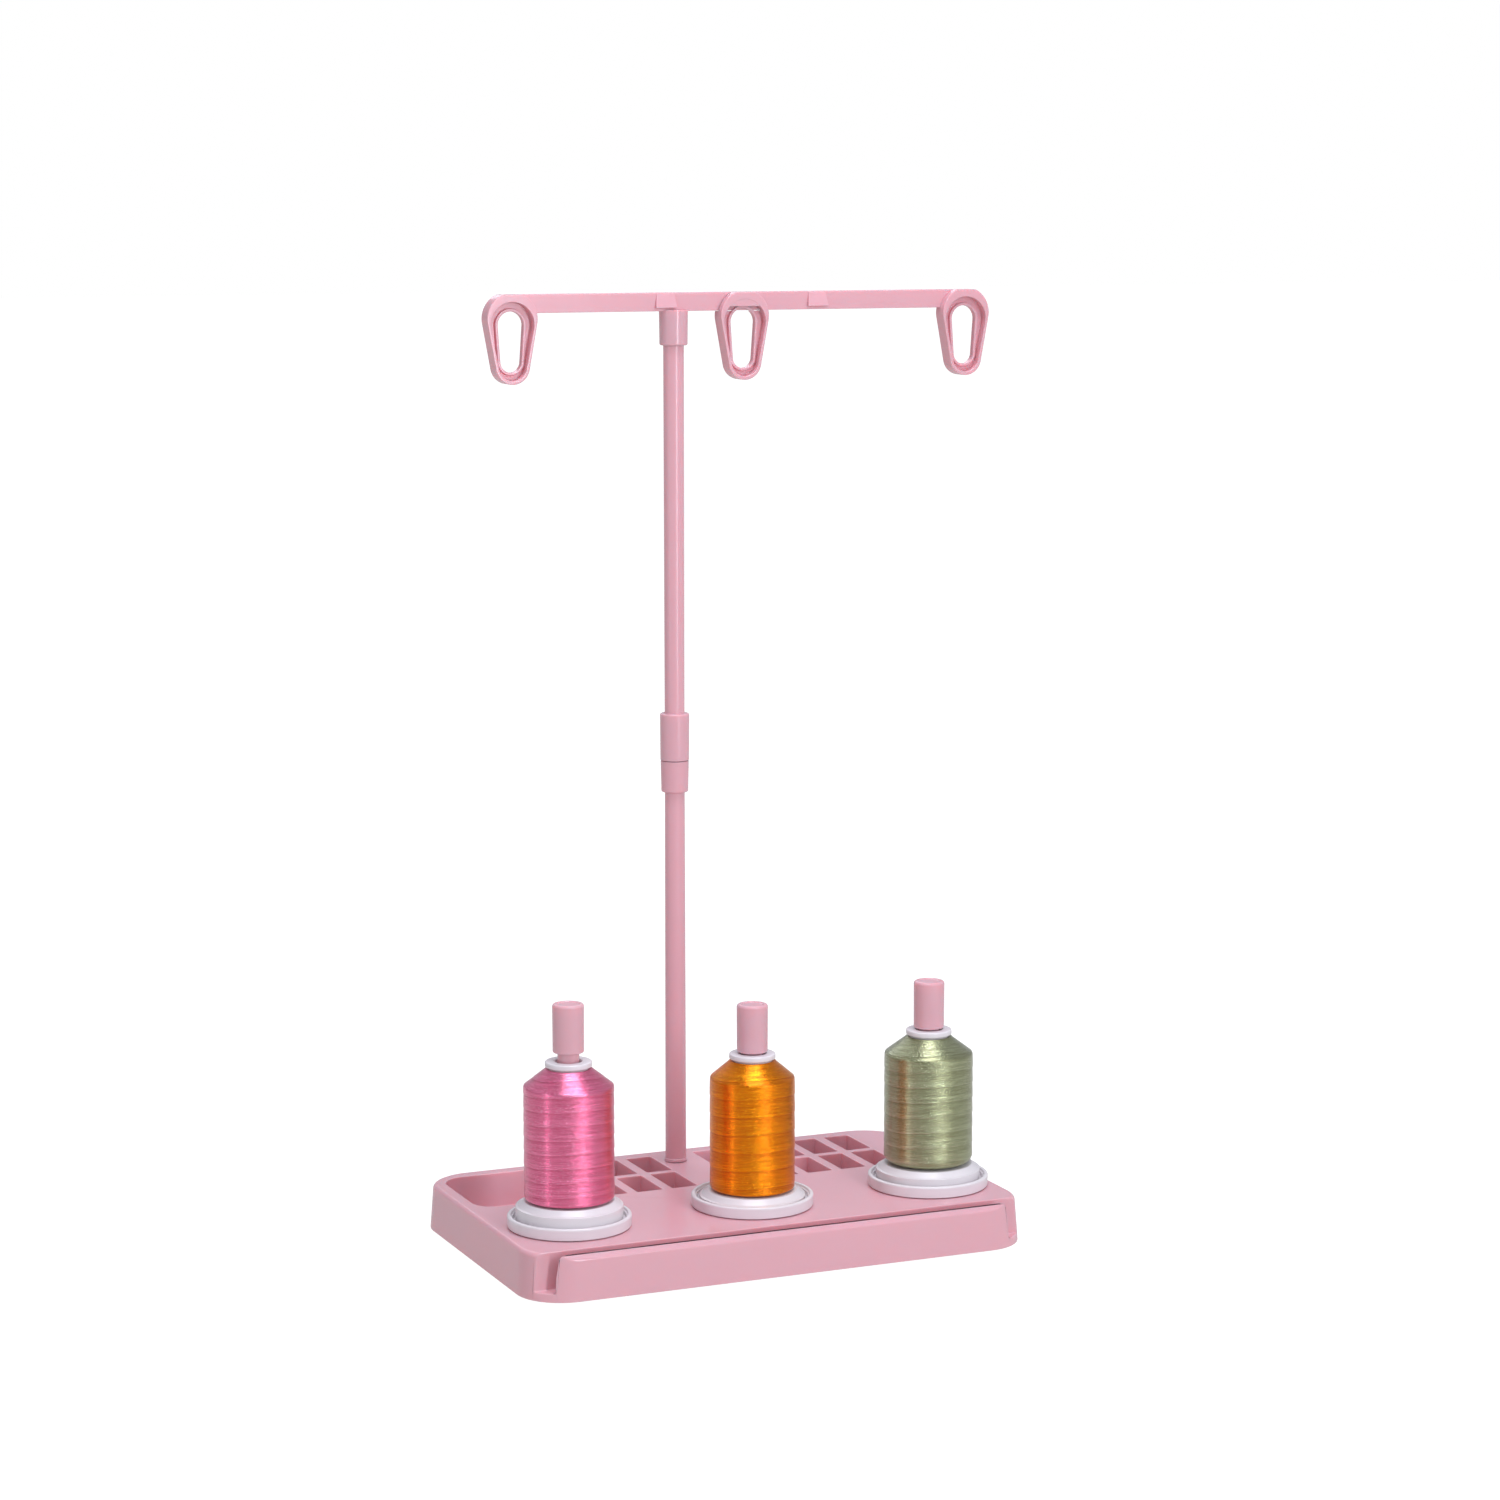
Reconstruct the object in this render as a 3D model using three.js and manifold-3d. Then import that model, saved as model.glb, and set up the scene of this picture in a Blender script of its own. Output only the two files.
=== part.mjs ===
// Three-spool sewing thread stand: a moulded base with bobbin slots, a two-part plug-in pole,
// a crossbar with three thread guides, and three capped pins that carry thread spools.
// Millimetres, +Z up, X along the front edge, -Y towards the user. Dimensions are counted from the
// middle of the base; the finished group is moved so that its origin is under the middle of the whole
// stand, whose crossbar reaches past the base on one side.
import * as THREE from "three";
import { mergeVertices } from "three/addons/utils/BufferGeometryUtils.js";
import Module from "manifold-3d";

const wasm = await Module();
wasm.setup();

// ---------- driving dimensions ----------
const GAP = 0.3;                 // clearance left between touching pieces

const BASE_W = 244;
const BASE_D = 155;
const BASE_H = 21;
const CORNER_R = 21.5;
const BASE_DRAFT = 1.2;          // how far the side walls lean in by the top
const TOP_ROUND = 2;
const WALL = 2.4;
const FOOT_PROUD = 0.8;          // how far the rubber feet lift the rim
const RIM_Z = FOOT_PROUD;
const DECK_Z = RIM_Z + BASE_H;

const SLOT_W = 12.4;             // bobbin slots stand two deep behind the spools
const SLOT_L = 27;
const SLOT_PITCH = 17.35;
const SLOT_FLOOR_Z = 6.8;
const SLOT_ROWS_Y = [10.2, 41];  // near edge of each row
const SLOT_LEFT_X = -55.3;       // near-left edges of the first column in each group
const SLOT_LEFT_COLUMNS = 3;
const SLOT_RIGHT_X = 13.7;
const SLOT_RIGHT_COLUMNS = 5;
const SLOT_WALL = 1.8;

const TRAY_X = [-113.5, -62];
const TRAY_Y = [12.6, 67.6];
const TRAY_R = 11;
const TRAY_FLOOR_Z = 5.8;

const TROUGH_Y = [-74, -67.5];   // long open trough behind the front rail
const TROUGH_FLOOR_Z = 4.8;
const RAIL_HALF = 110.5;
const RAIL_FRONT_Z = 19.2;       // the rail's top slopes up from front to back
const RAIL_BACK_Z = 21.6;
const RAIL_CORNER_R = 5;

const FOOT_R = 7;
const FOOT_POCKET = 1.5;
const FOOT_XY = [[-102, -52], [102, -52], [-102, 55], [102, 55]];

const PIN_X = [-87.3, 1.7, 90.7];
const PIN_Y = -30.7;
const PIN_R = 4.85;
const PIN_TOP_Z = 107;
const PIN_SPIGOT_R = 4;
const SOCKET_FLOOR_Z = 6;
const BOSS_Z = 4;                // underside of the bosses round the pin and pole sockets
const PIN_BOSS_R = 8;
const POLE_BOSS_R = 9.4;

const RIB_T = 1.6;               // stiffening ribs under the deck
const RIB_Z = 9;
const RIB_Y = -12.2;
const RIB_X = 45.2;
const ABOVE_Z = DECK_Z + 5;      // cuts through the deck run up to here

const CAP_R = 7.1;
const CAP_H = 22;
const CAP_BORE_H = 16.5;

const POLE_Y = 55.8;
const POLE_R = 4.8;
const POLE_SPIGOT_R = 4.1;
const COLLAR_R = 6.7;
const SLEEVE_R = 6.85;
const COLLAR_Z = [199.6, 214.3];
const SPIGOT_TOP_Z = 232;
const SLEEVE_TOP_Z = 236.7;
const POLE_TOP_Z = 421.6;

const BAR_Z = [423.5, 432];
const BAR_Y = [52.8, 58.8];
const BAR_MIDDLE_X = 33.1;
const GUIDE_PITCH = 114.3;
const GUIDE_Y = [48.8, 57];
const GUIDE_RECESS = 4.2;
const GUIDE_WEB = 1.8;
const GUIDE_LIP = { width: 1.3, lift: 1.6 };   // raised round the hole
const TAB_OFFSET = 38.3;
const BAR_SOCKET_Z = 407.8;
const RAMP = { bottomHalf: 5.2, topHalf: 4.3, lift: 1.6, proud: 2 };
const GUIDE_OUTER = { top: { z: 421, r: 12.1 }, bottom: { z: 399.7, r: 8.2 } };
const GUIDE_POCKET = { top: { z: 418.2, r: 10.4 }, bottom: { z: 399.9, r: 6.7 } };
const GUIDE_HOLE = { top: { z: 418.2, r: 6.2 }, bottom: { z: 402, r: 5.1 } };
const GUIDE_ROOM = 20;           // half width of blocks that are wider than any guide
const PAD_LIFT = 1.9;            // the middle guide's pad ends this far above the bar's lower edge
const CLIP_HALF = 5;             // slot in the bar for the middle guide's clip
const CLIP_Z = [426, 429.6];
const BARB_REACH = 1.4;
const BARB_RISE = 0.7;

const SPOOLS = [
  { name: "left", x: PIN_X[0], lift: 4.6, capZ: 100.9, threadR: 20.3, round: 1.2, color: 0xd6648c },
  { name: "middle", x: PIN_X[1], lift: 0, capZ: 93, threadR: 19.45, round: 1.2, color: 0xf09614 },
  { name: "right", x: PIN_X[2], lift: 3.2, capZ: 96.2, threadR: 20.6, round: 3.2, color: 0x96aa73 },
];
const CUP_R = 27.9;              // clip-fit base disc under each spool
const CUP_Z = [DECK_Z + GAP, 27.5];
const CUP_RECESS_R = 25.4;
const CUP_FLOOR_Z = 24.6;
const FLANGE_R = 24.1;
const FLANGE_Z = 24.9;
const CORE_BORE_R = 5.3;
const CORE_R = 9;
const RIM_R = 10.5;
const RIM_TOP_Z = 92.4;
const THREAD_Z = [30.2, 81.4, 89.3]; // foot, shoulder and top of the winding

// ---------- materials ----------
const plastic = (color, roughness) => new THREE.MeshStandardMaterial({ color, roughness, metalness: 0 });
const PINK = 0xe6b0bd;

// ---------- geometry helpers ----------
function solid(geometry) {
  const bare = geometry.clone();
  bare.deleteAttribute("normal");
  bare.deleteAttribute("uv");
  const merged = mergeVertices(bare, 1e-4);
  return new wasm.Manifold(new wasm.Mesh({
    numProp: 3,
    vertProperties: new Float32Array(merged.attributes.position.array),
    triVerts: new Uint32Array(merged.index.array),
  }));
}

function geometryOf(manifold) {
  const mesh = manifold.getMesh();
  const geometry = new THREE.BufferGeometry();
  geometry.setAttribute("position", new THREE.BufferAttribute(new Float32Array(mesh.vertProperties), 3));
  geometry.setIndex(new THREE.BufferAttribute(new Uint32Array(mesh.triVerts), 1));
  geometry.computeVertexNormals();
  return geometry;
}

function joined(solids) {
  return solids.reduce((whole, next) => whole.add(next));
}

function block(x, y, z) {
  const box = new THREE.BoxGeometry(x[1] - x[0], y[1] - y[0], z[1] - z[0]);
  box.translate((x[0] + x[1]) / 2, (y[0] + y[1]) / 2, (z[0] + z[1]) / 2);
  return solid(box);
}

function rod(x, y, radius, z, segments = 20) {
  const cylinder = new THREE.CylinderGeometry(radius, radius, z[1] - z[0], segments);
  cylinder.rotateX(Math.PI / 2);
  cylinder.translate(x, y, (z[0] + z[1]) / 2);
  return solid(cylinder);
}

// A turned piece about the vertical axis through (x, y), from [radius, height] points.
function turned(x, y, profile, segments = 24) {
  const lathe = new THREE.LatheGeometry(profile.map(([r, z]) => new THREE.Vector2(r, z)), segments);
  lathe.rotateX(Math.PI / 2);
  lathe.translate(x, y, 0);
  return lathe;
}

function roundedRectangle(x, y, r) {
  const shape = new THREE.Shape();
  shape.absarc(x[1] - r, y[1] - r, r, 0, Math.PI / 2);
  shape.absarc(x[0] + r, y[1] - r, r, Math.PI / 2, Math.PI);
  shape.absarc(x[0] + r, y[0] + r, r, Math.PI, 1.5 * Math.PI);
  shape.absarc(x[1] - r, y[0] + r, r, 1.5 * Math.PI, 2 * Math.PI);
  return shape;
}

// Two circles of different size joined by their outer tangents, drawn in X-Z about x.
function teardrop(x, top, bottom) {
  const lean = Math.asin((top.r - bottom.r) / (top.z - bottom.z));
  const shape = new THREE.Shape();
  shape.absarc(x, top.z, top.r, -lean, Math.PI + lean);
  shape.absarc(x, bottom.z, bottom.r, Math.PI + lean, 2 * Math.PI - lean);
  return shape;
}

function slab(shape, z, curveSegments = 8) {
  const depth = z[1] - z[0];
  const geometry = new THREE.ExtrudeGeometry(shape, { depth, bevelEnabled: false, curveSegments });
  geometry.translate(0, 0, z[0]);
  return solid(geometry);
}

// A shape drawn in X-Z, pushed along Y.
function standingSlab(shape, y, curveSegments = 7) {
  const depth = y[1] - y[0];
  const geometry = new THREE.ExtrudeGeometry(shape, { depth, bevelEnabled: false, curveSegments });
  geometry.rotateX(Math.PI / 2);
  geometry.translate(0, y[1], 0);
  return solid(geometry);
}

// A rounded box whose outline shrinks by each level's inset: moulding draft and a rounded top edge.
function moulded(width, depth, radius, levels) {
  const shape = roundedRectangle([-width / 2, width / 2], [-depth / 2, depth / 2], radius);
  const steps = levels.length - 1;
  const options = { depth: steps, steps, bevelEnabled: false, curveSegments: 6 };
  const geometry = new THREE.ExtrudeGeometry(shape, options);
  const position = geometry.attributes.position;
  for (let i = 0; i < position.count; i += 1) {
    const level = levels[Math.round(position.getZ(i))];
    const sx = 1 - (2 * level.inset) / width;
    const sy = 1 - (2 * level.inset) / depth;
    position.setXYZ(i, position.getX(i) * sx, position.getY(i) * sy, level.z);
  }
  return solid(geometry);
}

function mesh(name, geometry, color, roughness) {
  const piece = new THREE.Mesh(geometry, plastic(color, roughness));
  piece.name = name;
  return piece;
}

// ---------- base ----------
function slotColumns() {
  const columns = [];
  for (let i = 0; i < SLOT_LEFT_COLUMNS; i += 1) columns.push(SLOT_LEFT_X + i * SLOT_PITCH);
  for (let i = 0; i < SLOT_RIGHT_COLUMNS; i += 1) columns.push(SLOT_RIGHT_X + i * SLOT_PITCH);
  return columns;
}

function outerBody() {
  const levels = [{ z: RIM_Z, inset: 0 }];
  for (const degrees of [0, 30, 60, 90]) {
    const a = THREE.MathUtils.degToRad(degrees);
    levels.push({
      z: DECK_Z - TOP_ROUND + TOP_ROUND * Math.sin(a),
      inset: BASE_DRAFT + TOP_ROUND * (1 - Math.cos(a)),
    });
  }
  return moulded(BASE_W, BASE_D, CORNER_R, levels);
}

// What stays solid inside the hollow underside: slot and tray walls, socket bosses, foot bosses, ribs.
function innerWalls() {
  const slotZ = [SLOT_FLOOR_Z - SLOT_WALL, DECK_Z];
  const slotY = [SLOT_ROWS_Y[0] - SLOT_WALL, SLOT_ROWS_Y[1] + SLOT_L + SLOT_WALL];
  const groupX = (first, count) => [first - SLOT_WALL, first + (count - 1) * SLOT_PITCH + SLOT_W + SLOT_WALL];
  const walls = [
    block(groupX(SLOT_LEFT_X, SLOT_LEFT_COLUMNS), slotY, slotZ),
    block(groupX(SLOT_RIGHT_X, SLOT_RIGHT_COLUMNS), slotY, slotZ),
    block([TRAY_X[0] - SLOT_WALL, TRAY_X[1] + SLOT_WALL], [TRAY_Y[0] - SLOT_WALL, TRAY_Y[1] + SLOT_WALL],
      [TRAY_FLOOR_Z - SLOT_WALL, DECK_Z]),
    block([-BASE_W, BASE_W], [-BASE_D, TROUGH_Y[1] + WALL], [-1, DECK_Z]),
    block([-BASE_W, BASE_W], [RIB_Y - RIB_T / 2, RIB_Y + RIB_T / 2], [RIB_Z, DECK_Z]),
    rod(0, POLE_Y, POLE_BOSS_R, [BOSS_Z, DECK_Z]),
  ];
  for (const x of [-RIB_X, RIB_X]) {
    walls.push(block([x - RIB_T / 2, x + RIB_T / 2], [-BASE_D, SLOT_ROWS_Y[0]], [RIB_Z, DECK_Z]));
  }
  for (const x of PIN_X) walls.push(rod(x, PIN_Y, PIN_BOSS_R, [BOSS_Z, DECK_Z]));
  for (const [x, y] of FOOT_XY) walls.push(rod(x, y, FOOT_R + 2, [-1, DECK_Z]));
  return joined(walls);
}

function slotAndTrayCuts() {
  const cuts = [slab(roundedRectangle(TRAY_X, TRAY_Y, TRAY_R), [TRAY_FLOOR_Z, ABOVE_Z], 6)];
  for (const x of slotColumns()) {
    for (const y of SLOT_ROWS_Y) {
      cuts.push(block([x, x + SLOT_W], [y, y + SLOT_L], [SLOT_FLOOR_Z, ABOVE_Z]));
    }
  }
  return joined(cuts);
}

// Everything in front of the trough's back wall goes, except the rail.
function frontCut() {
  const rail = new THREE.Shape();
  rail.moveTo(-BASE_D, -5);
  rail.lineTo(TROUGH_Y[0], -5);
  rail.lineTo(TROUGH_Y[0], RAIL_BACK_Z);
  rail.lineTo(-BASE_D / 2 + BASE_DRAFT, RAIL_FRONT_Z);
  rail.lineTo(-BASE_D, RAIL_FRONT_Z);
  const along = new THREE.ExtrudeGeometry(rail, { depth: 2 * BASE_W, bevelEnabled: false });
  along.rotateX(Math.PI / 2);
  along.rotateZ(Math.PI / 2);
  along.translate(-BASE_W, 0, 0);
  const railEnds = roundedRectangle([-RAIL_HALF, RAIL_HALF], [-20, RAIL_BACK_Z + 0.1], RAIL_CORNER_R);
  const outline = standingSlab(railEnds, [-BASE_D, TROUGH_Y[1] + 1], 6);
  const front = block([-BASE_W, BASE_W], [-BASE_D, TROUGH_Y[1]], [TROUGH_FLOOR_Z, ABOVE_Z]);
  return front.subtract(solid(along).intersect(outline));
}

function baseShell() {
  const hollow = moulded(BASE_W - 2 * WALL, BASE_D - 2 * WALL, CORNER_R - WALL, [
    { z: -1, inset: 0 },
    { z: DECK_Z - WALL, inset: BASE_DRAFT },
  ]);
  const sockets = [rod(0, POLE_Y, POLE_SPIGOT_R + GAP, [SOCKET_FLOOR_Z, ABOVE_Z])];
  for (const x of PIN_X) sockets.push(rod(x, PIN_Y, PIN_SPIGOT_R + GAP, [SOCKET_FLOOR_Z, ABOVE_Z]));
  const pockets = FOOT_XY.map(([x, y]) => rod(x, y, FOOT_R + GAP, [-1, RIM_Z + FOOT_POCKET]));
  const body = outerBody()
    .subtract(hollow.subtract(innerWalls()))
    .subtract(slotAndTrayCuts())
    .subtract(frontCut())
    .subtract(joined(sockets))
    .subtract(joined(pockets));
  return mesh("base_shell", geometryOf(body), PINK, 0.35);
}

function feet() {
  const names = ["front_left", "front_right", "back_left", "back_right"];
  return FOOT_XY.map(([x, y], i) => {
    const top = RIM_Z + FOOT_POCKET - GAP;
    const profile = [[0, 0], [FOOT_R - 0.5, 0], [FOOT_R, 0.5], [FOOT_R, top], [0, top]];
    return mesh(`foot_${names[i]}`, turned(x, y, profile, 16), 0x8f8f90, 0.9);
  });
}

// ---------- pins and caps ----------
function pin({ name, x }) {
  const seat = DECK_Z + GAP;
  const profile = [
    [0, SOCKET_FLOOR_Z + GAP], [PIN_SPIGOT_R, SOCKET_FLOOR_Z + GAP], [PIN_SPIGOT_R, seat], [PIN_R, seat],
    [PIN_R, PIN_TOP_Z - 1], [PIN_R - 1, PIN_TOP_Z], [0, PIN_TOP_Z],
  ];
  return mesh(`spool_pin_${name}`, turned(x, PIN_Y, profile, 20), PINK, 0.35);
}

function cap({ name, x, capZ }) {
  const bore = PIN_R + GAP;
  const top = capZ + CAP_H;
  const profile = [
    [bore, capZ], [CAP_R - 0.8, capZ], [CAP_R, capZ + 0.8], [CAP_R, top - 1.4], [CAP_R - 0.5, top - 0.4],
    [CAP_R - 1.5, top], [CAP_R - 2, top], [CAP_R - 2.6, top - 0.4], [0, top - 0.4],
    [0, capZ + CAP_BORE_H], [bore, capZ + CAP_BORE_H], [bore, capZ],
  ];
  return mesh(`pin_cap_${name}`, turned(x, PIN_Y, profile, 20), PINK, 0.35);
}

// ---------- spools ----------
function baseDisc({ name, x }) {
  const [low, high] = CUP_Z;
  const bore = CORE_BORE_R + GAP;
  const profile = [
    [bore, low], [CUP_R - 0.6, low], [CUP_R, low + 0.6], [CUP_R, high - 1.2], [CUP_R - 1, high],
    [CUP_RECESS_R, high], [CUP_RECESS_R, CUP_FLOOR_Z], [bore, CUP_FLOOR_Z], [bore, low],
  ];
  return mesh(`spool_base_${name}`, turned(x, PIN_Y, profile, 28), 0xe6e2e8, 0.4);
}

function spoolCore({ name, x, lift }) {
  const z = (height) => height + lift;
  const profile = [
    [CORE_BORE_R, z(FLANGE_Z)], [FLANGE_R, z(FLANGE_Z)], [FLANGE_R, z(FLANGE_Z + 1.6)],
    [FLANGE_R - 2.2, z(FLANGE_Z + 3.2)], [FLANGE_R - 7, z(FLANGE_Z + 4.6)], [CORE_R, z(FLANGE_Z + 4.6)],
    [CORE_R, z(RIM_TOP_Z - 2.8)], [RIM_R, z(RIM_TOP_Z - 2.4)], [RIM_R, z(RIM_TOP_Z - 0.6)],
    [RIM_R - 0.6, z(RIM_TOP_Z)], [CORE_BORE_R, z(RIM_TOP_Z)], [CORE_BORE_R, z(FLANGE_Z)],
  ];
  return mesh(`spool_core_${name}`, turned(x, PIN_Y, profile, 28), 0xe6e2e8, 0.4);
}

function winding({ name, x, lift, threadR, round, color }) {
  const [foot, shoulder, top] = THREAD_Z.map((height) => height + lift);
  const inner = CORE_R + GAP;
  const profile = [
    [inner, foot], [threadR - round, foot], [threadR - round * 0.3, foot + round * 0.8],
    [threadR, foot + round * 2.2], [threadR, shoulder - 1.2], [threadR - 0.5, shoulder],
    [inner + 0.9, top], [inner, top], [inner, foot],
  ];
  return mesh(`thread_${name}`, turned(x, PIN_Y, profile, 28), color, 0.5);
}

// ---------- pole ----------
function lowerPole() {
  const seat = DECK_Z + GAP;
  const [collarLow, collarHigh] = COLLAR_Z;
  const profile = [
    [0, SOCKET_FLOOR_Z + GAP], [POLE_SPIGOT_R, SOCKET_FLOOR_Z + GAP], [POLE_SPIGOT_R, seat],
    [POLE_R + 0.5, seat], [POLE_R + 0.5, seat + 1.2], [POLE_R, seat + 1.7], [POLE_R - 0.15, collarLow],
    [COLLAR_R - 0.9, collarLow], [COLLAR_R, collarLow + 0.9], [COLLAR_R, collarHigh],
    [POLE_SPIGOT_R, collarHigh], [POLE_SPIGOT_R, SPIGOT_TOP_Z - 0.8], [POLE_SPIGOT_R - 0.8, SPIGOT_TOP_Z],
    [0, SPIGOT_TOP_Z],
  ];
  return mesh("lower_pole", turned(0, POLE_Y, profile), PINK, 0.35);
}

function upperPole() {
  const low = COLLAR_Z[1] + GAP;
  const bore = POLE_SPIGOT_R + GAP;
  const profile = [
    [bore, low], [SLEEVE_R, low], [SLEEVE_R, SLEEVE_TOP_Z - 0.9], [SLEEVE_R - 0.9, SLEEVE_TOP_Z],
    [POLE_R - 0.1, SLEEVE_TOP_Z], [POLE_R, POLE_TOP_Z - 0.6], [POLE_R - 0.6, POLE_TOP_Z], [0, POLE_TOP_Z],
    [0, SPIGOT_TOP_Z + 1], [bore, SPIGOT_TOP_Z + 1], [bore, low],
  ];
  return mesh("upper_pole", turned(0, POLE_Y, profile), PINK, 0.35);
}

// ---------- crossbar and guides ----------
function pocket(x, y) {
  return standingSlab(teardrop(x, GUIDE_POCKET.top, GUIDE_POCKET.bottom), y);
}

// One thread guide: a deep outer rim, flat at the top, then a thin web and a raised lip round the hole.
function guide(x) {
  const [front, back] = GUIDE_Y;
  const webFront = front + GUIDE_RECESS;
  const [lipTop, lipBottom] = [GUIDE_HOLE.top, GUIDE_HOLE.bottom]
    .map(({ z, r }) => ({ z, r: r + GUIDE_LIP.width }));
  return standingSlab(teardrop(x, GUIDE_OUTER.top, GUIDE_OUTER.bottom), [front, back])
    .subtract(pocket(x, [front - 1, webFront]))
    .subtract(pocket(x, [webFront + GUIDE_WEB, back + 1]))
    .add(standingSlab(teardrop(x, lipTop, lipBottom), [webFront - GUIDE_LIP.lift, webFront + 0.5]))
    .subtract(standingSlab(teardrop(x, GUIDE_HOLE.top, GUIDE_HOLE.bottom), [front - 1, back + 1]))
    .subtract(block([x - GUIDE_ROOM, x + GUIDE_ROOM], [front - 1, back + 1], [BAR_Z[1], BAR_Z[1] + 5]));
}

// A small ramp on the bar's front face, narrower at its top.
function ramp(x) {
  const [front] = BAR_Y;
  const shape = new THREE.Shape();
  shape.moveTo(x - RAMP.bottomHalf, BAR_Z[0] + RAMP.lift);
  shape.lineTo(x + RAMP.bottomHalf, BAR_Z[0] + RAMP.lift);
  shape.lineTo(x + RAMP.topHalf, BAR_Z[1]);
  shape.lineTo(x - RAMP.topHalf, BAR_Z[1]);
  const wedge = new THREE.Shape();
  wedge.moveTo(front + 1, BAR_Z[0]);
  wedge.lineTo(front + 1, BAR_Z[1]);
  wedge.lineTo(front - 0.1, BAR_Z[1]);
  wedge.lineTo(front - RAMP.proud, BAR_Z[0] + RAMP.lift);
  wedge.lineTo(front - RAMP.proud, BAR_Z[0]);
  const along = new THREE.ExtrudeGeometry(wedge, { depth: 2 * GUIDE_ROOM, bevelEnabled: false });
  along.rotateX(Math.PI / 2);
  along.rotateZ(Math.PI / 2);
  along.translate(x - GUIDE_ROOM, 0, 0);
  return standingSlab(shape, [front - 3, front + 0.5]).intersect(solid(along));
}

function crossbar() {
  const left = BAR_MIDDLE_X - GUIDE_PITCH;
  const right = BAR_MIDDLE_X + GUIDE_PITCH;
  const clipSlot = block([BAR_MIDDLE_X - CLIP_HALF, BAR_MIDDLE_X + CLIP_HALF],
    [BAR_Y[0] - 1, BAR_Y[1] + 1], CLIP_Z);
  const bar = block([left, right], BAR_Y, BAR_Z)
    .subtract(pocket(left, [BAR_Y[0] - 1, BAR_Y[1] + 1]))
    .subtract(pocket(right, [BAR_Y[0] - 1, BAR_Y[1] + 1]))
    .add(guide(left))
    .add(guide(right))
    .add(rod(0, POLE_Y, COLLAR_R, [BAR_SOCKET_Z, BAR_Z[0] + 1], 24))
    .add(ramp(BAR_MIDDLE_X - TAB_OFFSET))
    .add(ramp(BAR_MIDDLE_X + TAB_OFFSET))
    .subtract(rod(0, POLE_Y, POLE_R + GAP, [BAR_SOCKET_Z - 1, POLE_TOP_Z + GAP], 24))
    .subtract(clipSlot);
  return mesh("crossbar", geometryOf(bar), PINK, 0.35);
}

// The middle guide clips through a slot in the bar: its pad covers the bar's front face.
function middleGuide() {
  const x = BAR_MIDDLE_X;
  const [front] = BAR_Y;
  const back = BAR_Y[1] + BARB_REACH;
  const wide = [x - GUIDE_ROOM, x + GUIDE_ROOM];
  const pad = standingSlab(teardrop(x, GUIDE_OUTER.top, GUIDE_OUTER.bottom), [GUIDE_Y[0], front])
    .intersect(block(wide, [GUIDE_Y[0], front], [BAR_Z[0] + PAD_LIFT, BAR_Z[1]]));
  const barRoom = block(wide, [front - GAP, back + 5], [BAR_Z[0] - GAP, BAR_Z[1] + 5]);
  const tongueX = [x - CLIP_HALF + GAP, x + CLIP_HALF - GAP];
  const tongueZ = [CLIP_Z[0] + GAP, CLIP_Z[1] - GAP];
  const tongue = block(tongueX, [front - 1, back], tongueZ);
  const barb = block(tongueX, [BAR_Y[1] + GAP, back], [tongueZ[0], tongueZ[1] + BARB_RISE]);
  const body = guide(x).add(pad).subtract(barRoom).add(tongue).add(barb);
  return mesh("middle_guide", geometryOf(body), PINK, 0.35);
}

// ---------- assembly ----------
const stand = new THREE.Group();
stand.add(baseShell(), ...feet());
for (const spool of SPOOLS) {
  stand.add(pin(spool), cap(spool), baseDisc(spool), spoolCore(spool), winding(spool));
}
stand.add(lowerPole(), upperPole(), crossbar(), middleGuide());

// The base's left side and the right-hand guide are the outermost points along X.
stand.position.x = -(BAR_MIDDLE_X + GUIDE_PITCH + GUIDE_OUTER.top.r - BASE_W / 2) / 2;

export default stand;
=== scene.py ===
"""Looks of a three-spool sewing thread stand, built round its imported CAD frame.

Lengths are millimetres, counted from the middle of the base and the surface the feet stand on.
place() turns them into metres in the frame's own coordinates.
"""

import math

import bmesh
import bpy
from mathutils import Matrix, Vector, noise


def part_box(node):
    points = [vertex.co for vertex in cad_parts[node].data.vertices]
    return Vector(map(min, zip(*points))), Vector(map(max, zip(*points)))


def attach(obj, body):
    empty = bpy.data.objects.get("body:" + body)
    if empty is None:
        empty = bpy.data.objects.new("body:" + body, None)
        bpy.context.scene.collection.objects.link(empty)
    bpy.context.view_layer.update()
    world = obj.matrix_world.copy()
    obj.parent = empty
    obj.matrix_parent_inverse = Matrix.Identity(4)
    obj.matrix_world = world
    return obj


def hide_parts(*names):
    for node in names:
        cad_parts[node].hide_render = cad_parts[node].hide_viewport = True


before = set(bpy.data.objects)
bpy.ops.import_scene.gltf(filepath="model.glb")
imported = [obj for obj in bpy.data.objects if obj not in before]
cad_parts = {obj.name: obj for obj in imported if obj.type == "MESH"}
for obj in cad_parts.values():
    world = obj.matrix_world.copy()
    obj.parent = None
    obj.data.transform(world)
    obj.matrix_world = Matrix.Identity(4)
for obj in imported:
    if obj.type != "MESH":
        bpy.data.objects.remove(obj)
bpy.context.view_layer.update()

MM = 0.001
base_low, base_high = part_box("base_shell")
MIDDLE_X = (base_low.x + base_high.x) / 2

# ---------- base ----------
BASE_W = (base_high.x - base_low.x) / MM
BASE_D = (base_high.y - base_low.y) / MM
RIM_Z = base_low.z / MM
DECK_Z = base_high.z / MM
CORNER_R = 21.5
CORNER_STEPS = 14
DRAFT = 1.2
TOP_ROUND = 2.0
WALL = 2.4
ABOVE_Z = DECK_Z + 5

SLOT_W, SLOT_L, SLOT_PITCH = 12.4, 27.0, 17.35
SLOT_FLOOR_Z = 6.8
SLOT_ROWS_Y = (10.2, 41.0)
SLOT_GROUPS = ((-55.3, 3), (13.7, 5))     # first slot's left side, and how many in the group
SLOT_WALL = 1.8

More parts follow.
